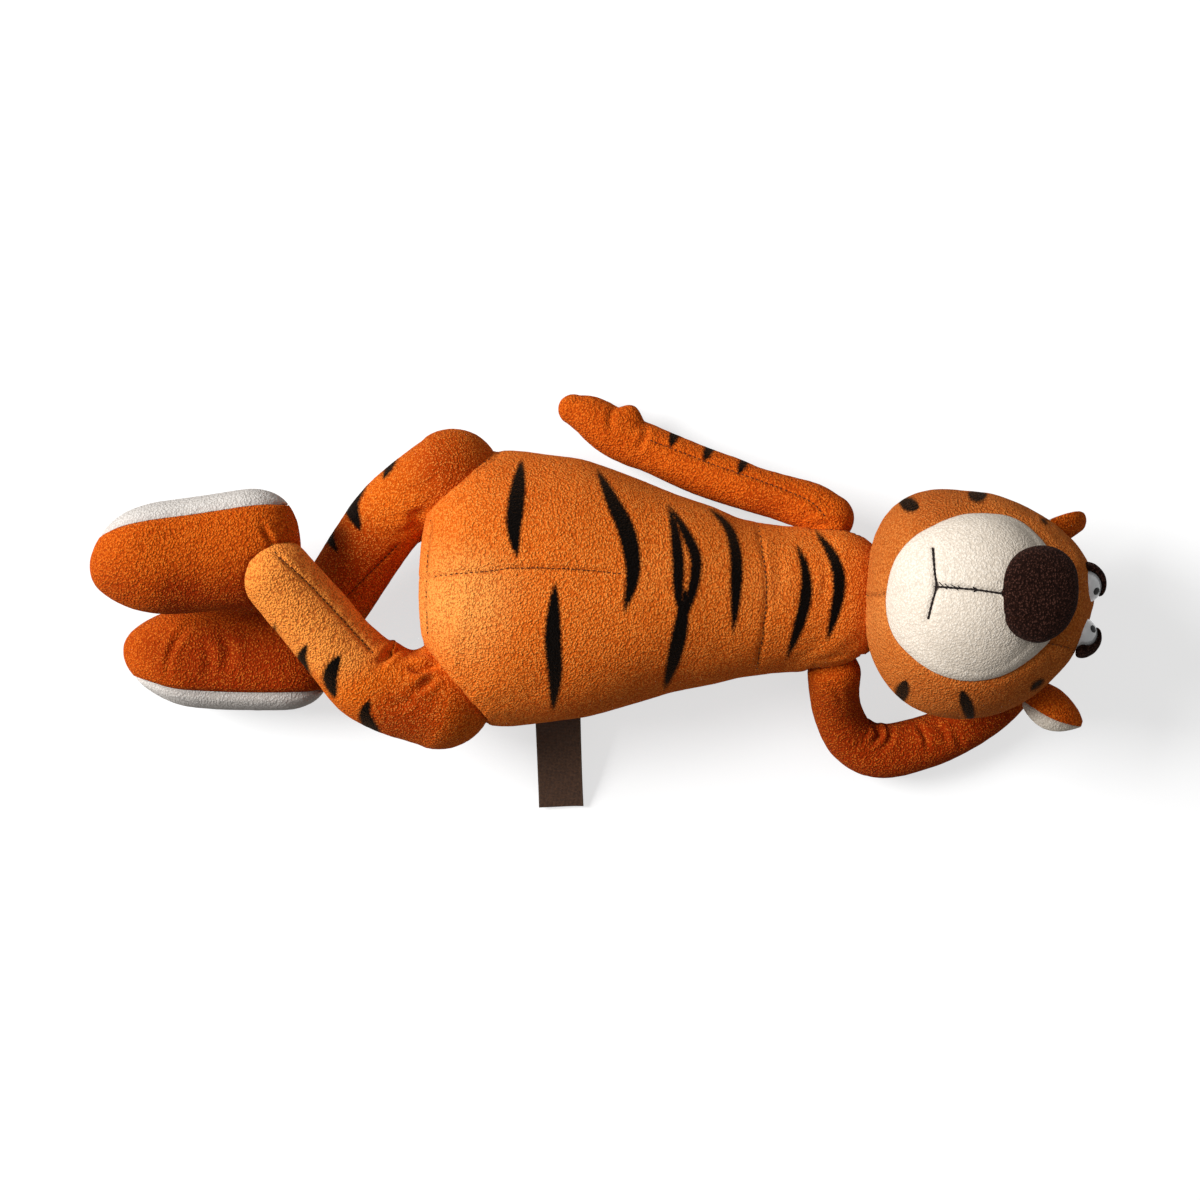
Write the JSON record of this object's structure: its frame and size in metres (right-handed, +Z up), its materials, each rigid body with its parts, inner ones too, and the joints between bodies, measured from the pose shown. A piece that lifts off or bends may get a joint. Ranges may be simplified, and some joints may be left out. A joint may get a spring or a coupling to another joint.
{
  "type": "plush tiger",
  "caption": "Stuffed plush tiger lying on its back with crossed ankles, one hand behind its head; its head, arms, legs, feet, ears and tail turn at their seams.",
  "frame": {"origin": "centre of the flat of the back, where the toy rests", "axes": "+X towards the crown of the head, +Y to the toy's own right side, +Z up from the back to the belly"},
  "size_m": [0.4445, 0.1965, 0.12],
  "materials": {
    "orange_plush": "short dense pile, bright orange",
    "deep_orange_plush": "short dense pile, burnt orange",
    "cream_plush": "short dense pile, cream white",
    "brown_plush": "short dense pile, dark brown",
    "stuffing": "loose white polyester fibre",
    "eye_white": "glossy white",
    "eye_black": "glossy black",
    "eye_washer": "natural white",
    "label_ribbon": "woven satin ribbon, dark brown"
  },
  "bodies": {
    "torso": {"torso_cover": "orange_plush", "torso_stuffing": "stuffing"},
    "head": {"head_cover": "orange_plush", "head_stuffing": "stuffing", "muzzle_panel": "cream_plush", "nose": "brown_plush", "right_eye": "eye_white", "right_pupil": "eye_black", "right_eye_washer": "eye_washer", "right_brow": "brown_plush", "left_eye": "eye_white", "left_pupil": "eye_black", "left_eye_washer": "eye_washer", "left_brow": "brown_plush"},
    "right_ear": {"right_ear_back": "deep_orange_plush", "right_ear_lining": "cream_plush"},
    "left_ear": {"left_ear_back": "deep_orange_plush", "left_ear_lining": "cream_plush"},
    "right_upper_arm": {"right_upper_arm_cover": "deep_orange_plush", "right_upper_arm_stuffing": "stuffing"},
    "right_forearm": {"right_forearm_cover": "deep_orange_plush", "right_forearm_stuffing": "stuffing"},
    "left_upper_arm": {"left_upper_arm_cover": "deep_orange_plush", "left_upper_arm_stuffing": "stuffing"},
    "left_forearm": {"left_forearm_cover": "deep_orange_plush", "left_forearm_stuffing": "stuffing"},
    "right_leg": {"right_leg_cover": "deep_orange_plush", "right_leg_stuffing": "stuffing"},
    "right_foot": {"right_foot_cover": "deep_orange_plush", "right_foot_stuffing": "stuffing", "right_sole": "cream_plush"},
    "left_leg": {"left_leg_cover": "deep_orange_plush", "left_leg_stuffing": "stuffing"},
    "left_foot": {"left_foot_cover": "deep_orange_plush", "left_foot_stuffing": "stuffing", "left_sole": "cream_plush"},
    "tail": {"tail_cover": "orange_plush", "tail_stuffing": "stuffing"},
    "label": {"label_loop": "label_ribbon"}
  },
  "joints": [
    {"name": "neck_nod", "type": "hinge", "parent": "torso", "child": "head", "pos_m": [0.08398, -0.00234, 0.036], "axis": [0, -1, 0], "range_deg": [0, 30]},
    {"name": "right_ear_flick", "type": "hinge", "parent": "head", "child": "right_ear", "pos_m": [0.17608, 0.02838, 0.0506], "axis": [0.5581, 0.205, 0.8041], "range_deg": [-15, 15]},
    {"name": "left_ear_flick", "type": "hinge", "parent": "head", "child": "left_ear", "pos_m": [0.16751, -0.0466, 0.05716], "axis": [0.078, 0.048, 0.9958], "range_deg": [-15, 15]},
    {"name": "right_shoulder", "type": "hinge", "parent": "torso", "child": "right_upper_arm", "pos_m": [0.08664, 0.03254, 0.034], "axis": [0, 0, 1], "range_deg": [-90, 0]},
    {"name": "right_elbow", "type": "hinge", "parent": "right_upper_arm", "child": "right_forearm", "pos_m": [0.04264, 0.04925, 0.02365], "axis": [0, 0, 1], "range_deg": [-80, 0]},
    {"name": "left_shoulder", "type": "hinge", "parent": "torso", "child": "left_upper_arm", "pos_m": [0.08664, -0.03737, 0.034], "axis": [0, 0, 1], "range_deg": [-90, 0]},
    {"name": "left_elbow", "type": "hinge", "parent": "left_upper_arm", "child": "left_forearm", "pos_m": [0.11014, -0.07587, 0.0126], "axis": [0, 0, 1], "range_deg": [-80, 0]},
    {"name": "right_hip", "type": "hinge", "parent": "torso", "child": "right_leg", "pos_m": [-0.08797, 0.05065, 0.039], "axis": [0, 0, 1], "range_deg": [-60, 0]},
    {"name": "right_ankle", "type": "hinge", "parent": "right_leg", "child": "right_foot", "pos_m": [-0.1538, -0.02194, 0.0213], "axis": [0, 0, 1], "range_deg": [-20, 20]},
    {"name": "left_hip", "type": "hinge", "parent": "torso", "child": "left_leg", "pos_m": [-0.09462, -0.04556, 0.039], "axis": [0, 0, 1], "range_deg": [0, 60]},
    {"name": "left_ankle", "type": "hinge", "parent": "left_leg", "child": "left_foot", "pos_m": [-0.1597, 0.00676, 0.0643], "axis": [0, 0, 1], "range_deg": [-20, 20]},
    {"name": "tail_lift", "type": "hinge", "parent": "torso", "child": "tail", "pos_m": [-0.08626, 0.00241, 0.0083], "axis": [0, 1, 0], "range_deg": [0, 90]},
    {"name": "label_flap", "type": "hinge", "parent": "torso", "child": "label", "pos_m": [-0.03952, -0.05538, 0.02], "axis": [-1, 0, 0], "range_deg": [0, 80]}
  ]
}
